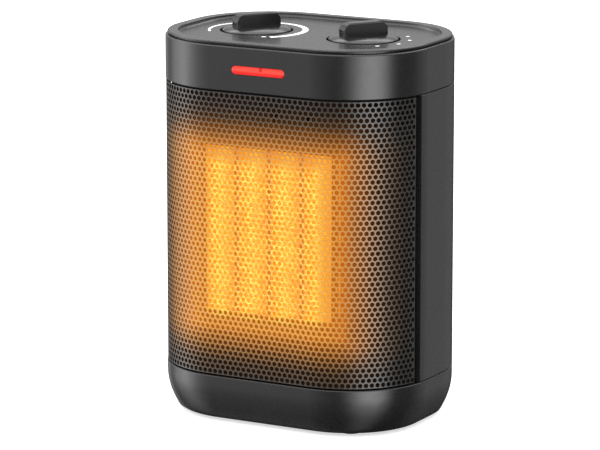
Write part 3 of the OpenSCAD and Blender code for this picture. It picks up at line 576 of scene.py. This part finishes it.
def two_sided(name, flat, faces):
    """Closes a flat pattern into a sheet with a front, a back and walls at every free edge."""
    count = len(flat)
    verts = [sheet_point(s, z, 0.0) for s, z in flat] + [sheet_point(s, z, SHEET_T) for s, z in flat]
    edges = {}
    for face in faces:
        for a, b in zip(face, face[1:] + face[:1]):
            edges[(a, b)] = edges.get((a, b), 0) + 1
    walls = [[b, a, a + count, b + count] for a, b in edges if (b, a) not in edges]
    back = [[i + count for i in reversed(face)] for face in faces]
    obj = mesh_piece(name, verts, faces + walls + back, MATERIALS["grille"])
    # the hole walls and the back carry the same painted heater light, over a shorter reach
    obj.data.materials.append(grille_material("grille_inside", (0.004, 0.004, 0.004), HOLE_PAINTED_LIGHT_REACH))
    for poly in obj.data.polygons[len(faces):]:
        poly.material_index = 1
    tidy = bmesh.new()
    tidy.from_mesh(obj.data)
    bmesh.ops.recalc_face_normals(tidy, faces=tidy.faces)
    tidy.to_mesh(obj.data)
    tidy.free()
    for poly in obj.data.polygons:
        poly.use_smooth = True
    obj.data.set_sharp_from_angle(angle=SHARP_ANGLE)
    return obj


# ---------------------------------------------------------------- dial marks
PRINT_T = 0.06 * MM
PRINT = print_material()
SCALE_INNER = 26 * MM
SCALE_OUTER = 27.3 * MM
SCALE_TAPER = 2.7 * MM
MARK_OUTER = 27 * MM
MARK_STEPS = 4
MODE_MARKS = (47, 17, -14, -45)
MODE_MARK_HALF = 2.4


def ring_band(name, centre, start_deg, end_deg, inner, outer, steps=72):
    """A flat printed band. inner and outer give its radii from the share of the turn that is done."""
    flat = []
    for i in range(steps + 1):
        share = i / steps
        angle = math.radians(start_deg + (end_deg - start_deg) * share)
        for radius in (inner(share), outer(share)):
            flat.append((centre.x + radius * math.cos(angle), centre.y + radius * math.sin(angle)))
    count = len(flat)
    verts = [(x, y, DECK_Z + PRINT_T) for x, y in flat] + [(x, y, DECK_Z - PRINT_T) for x, y in flat]
    faces = []
    for i in range(steps):
        a, b, c, d = 2 * i, 2 * i + 1, 2 * i + 3, 2 * i + 2
        faces += [(a, b, c, d), (a + count, d + count, c + count, b + count)]
        faces += [(b, b + count, c + count, c), (a, d, d + count, a + count)]
    faces += [(0, count, count + 1, 1), (2 * steps, 2 * steps + 1, 2 * steps + 1 + count, 2 * steps + count)]
    return mesh_piece(name, verts, faces, PRINT)


def dial_marks():
    """The thermostat's tapered scale with its end mark, and the mode dial's four marks."""
    left, right = KNOB_AT
    ring_band("thermostat_scale", left, 220, -45,
              lambda t: SCALE_INNER, lambda t: SCALE_OUTER + SCALE_TAPER * t)
    ring_band("thermostat_end_mark", left, -49, -54.5,
              lambda t: 25 * MM, lambda t: MARK_OUTER, MARK_STEPS)
    for number, angle in enumerate(MODE_MARKS):
        ring_band(f"mode_mark_{number}", right, angle + MODE_MARK_HALF, angle - MODE_MARK_HALF,
                  lambda t: 25.2 * MM, lambda t: MARK_OUTER, MARK_STEPS)


# ---------------------------------------------------------------- stage, light and camera
CAMERA_AZIMUTH = 28.84
CAMERA_ELEVATION = 11.96
CAMERA_DISTANCE = 2.121
CAMERA_LENS = 225.3
CAMERA_TARGET = Vector((-4.7, -2.6, 106.1)) * MM
STUDIO_STRENGTH = 6.2
FLOOR_HALF = 6.0
FLOOR_GLOW = 0.62


def make_camera():
    azimuth, elevation = math.radians(CAMERA_AZIMUTH), math.radians(CAMERA_ELEVATION)
    back = Vector((math.sin(azimuth) * math.cos(elevation), -math.cos(azimuth) * math.cos(elevation),
                   math.sin(elevation)))
    camera = bpy.data.objects.new("camera", bpy.data.cameras.new("camera"))
    camera.data.lens = CAMERA_LENS
    camera.data.sensor_width = 36
    camera.data.clip_start = 0.05
    camera.location = CAMERA_TARGET + back * CAMERA_DISTANCE
    camera.rotation_euler = back.to_track_quat("Z", "Y").to_euler()
    bpy.context.scene.collection.objects.link(camera)
    bpy.context.scene.camera = camera


def turn_share(degrees):
    """Where a compass direction, in degrees from +X, lies on the world's ramp."""
    return (degrees + 180) / 360


def make_world():
    """A studio, plain white to the camera. Its light on the object is uneven, as the lists give it."""
    world = bpy.data.worlds.new("studio")
    bpy.context.scene.world = world
    world.use_nodes = True
    tree = world.node_tree
    tree.nodes.clear()
    way = tree.nodes.new("ShaderNodeTexCoord").outputs["Generated"]
    parts = tree.nodes.new("ShaderNodeSeparateXYZ")
    tree.links.new(way, parts.inputs[0])
    turn = math_node(tree, "ARCTAN2", parts.outputs["Y"], parts.outputs["X"])
    share = math_node(tree, "ADD", math_node(tree, "DIVIDE", turn, math.tau), 0.5)
    low_box = [
        (-180, 0.3), (-163, 0.64), (-150, 0.42), (-137, 0.22), (-120, 0.15), (-98, 0.08), (-80, 0.012),
        (-68, 0.06), (-54, 0.5), (-42, 0.98), (-28, 1.0), (-17, 0.75), (-9, 0.2), (0, 0.01), (28, 0.02),
        (43, 0.08), (63, 0.09), (84, 0.05), (104, 0.008), (128, 0.05), (142, 0.11), (158, 0.03), (180, 0.3),
    ]
    high_box = [(-180, 0.35), (-163, 0.6), (-137, 0.25), (-115, 0.12), (-80, 0.1), (-60, 0.2), (-38, 0.34),
                (-24, 0.2), (-12, 0.06), (10, 0.04), (50, 0.09), (80, 0.1), (119, 0.11), (150, 0.1),
                (180, 0.3)]
    low = ramp(tree, share, [(turn_share(a), value) for a, value in low_box], "EASE")
    high = ramp(tree, share, [(turn_share(a), value) for a, value in high_box], "EASE")
    rise = math_node(tree, "ADD", math_node(tree, "MULTIPLY", parts.outputs["Z"], 0.5), 0.5)
    upper = ramp(tree, rise, [(0.46, 0), (0.54, 1)], "EASE")
    ground = ramp(tree, rise, [(0.08, 0.12), (0.25, 0.42), (0.38, 1)], "EASE")
    roof = ramp(tree, rise, [(0.73, 0.0), (0.76, 0.55), (0.8, 0.55), (0.83, 0.36), (1.0, 0.4)], "EASE")
    side = math_node(tree, "ADD", math_node(tree, "MULTIPLY", high, upper),
                     math_node(tree, "MULTIPLY", math_node(tree, "MULTIPLY", low, ground),
                               math_node(tree, "SUBTRACT", 1.0, upper)))
    light = math_node(tree, "MAXIMUM", side, roof)
    seen = tree.nodes.new("ShaderNodeLightPath").outputs["Is Camera Ray"]
    studio = node(tree, "ShaderNodeBackground", Color=light, Strength=STUDIO_STRENGTH)
    white = node(tree, "ShaderNodeBackground", Color=(1, 1, 1, 1), Strength=1.0)
    mix = tree.nodes.new("ShaderNodeMixShader")
    tree.links.new(seen, mix.inputs[0])
    tree.links.new(studio.outputs[0], mix.inputs[1])
    tree.links.new(white.outputs[0], mix.inputs[2])
    output = tree.nodes.new("ShaderNodeOutputWorld")
    tree.links.new(mix.outputs[0], output.inputs[0])


def make_floor():
    """A pale floor, bright enough to meet the white background, with the object's soft shadow on it."""
    mesh = bpy.data.meshes.new("floor")
    corners = [(x * FLOOR_HALF, y * FLOOR_HALF, 0) for x, y in ((-1, -1), (1, -1), (1, 1), (-1, 1))]
    mesh.from_pydata(corners, [], [(0, 1, 2, 3)])
    floor = bpy.data.objects.new("floor", mesh)
    bpy.context.scene.collection.objects.link(floor)
    material = bpy.data.materials.new("floor")
    material.use_nodes = True
    tree = material.node_tree
    shader = tree.nodes["Principled BSDF"]
    shader.inputs["Base Color"].default_value = (0.6, 0.6, 0.6, 1)
    shader.inputs["Roughness"].default_value = 0.9
    shader.inputs["Specular IOR Level"].default_value = 0.0
    seen = tree.nodes.new("ShaderNodeLightPath").outputs["Is Camera Ray"]
    tree.links.new(math_node(tree, "MULTIPLY", seen, FLOOR_GLOW), shader.inputs["Emission Strength"])
    shader.inputs["Emission Color"].default_value = (1, 1, 1, 1)
    mesh.materials.append(material)
    floor.visible_glossy = False


def make_stage():
    make_world()
    make_floor()
    view = bpy.context.scene.view_settings
    view.view_transform = "Standard"
    view.look = "None"


# ---------------------------------------------------------------- the object
make_camera()
make_stage()
dress_cad_nodes()
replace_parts(perforated_grille(), "front_grille")
dial_marks()
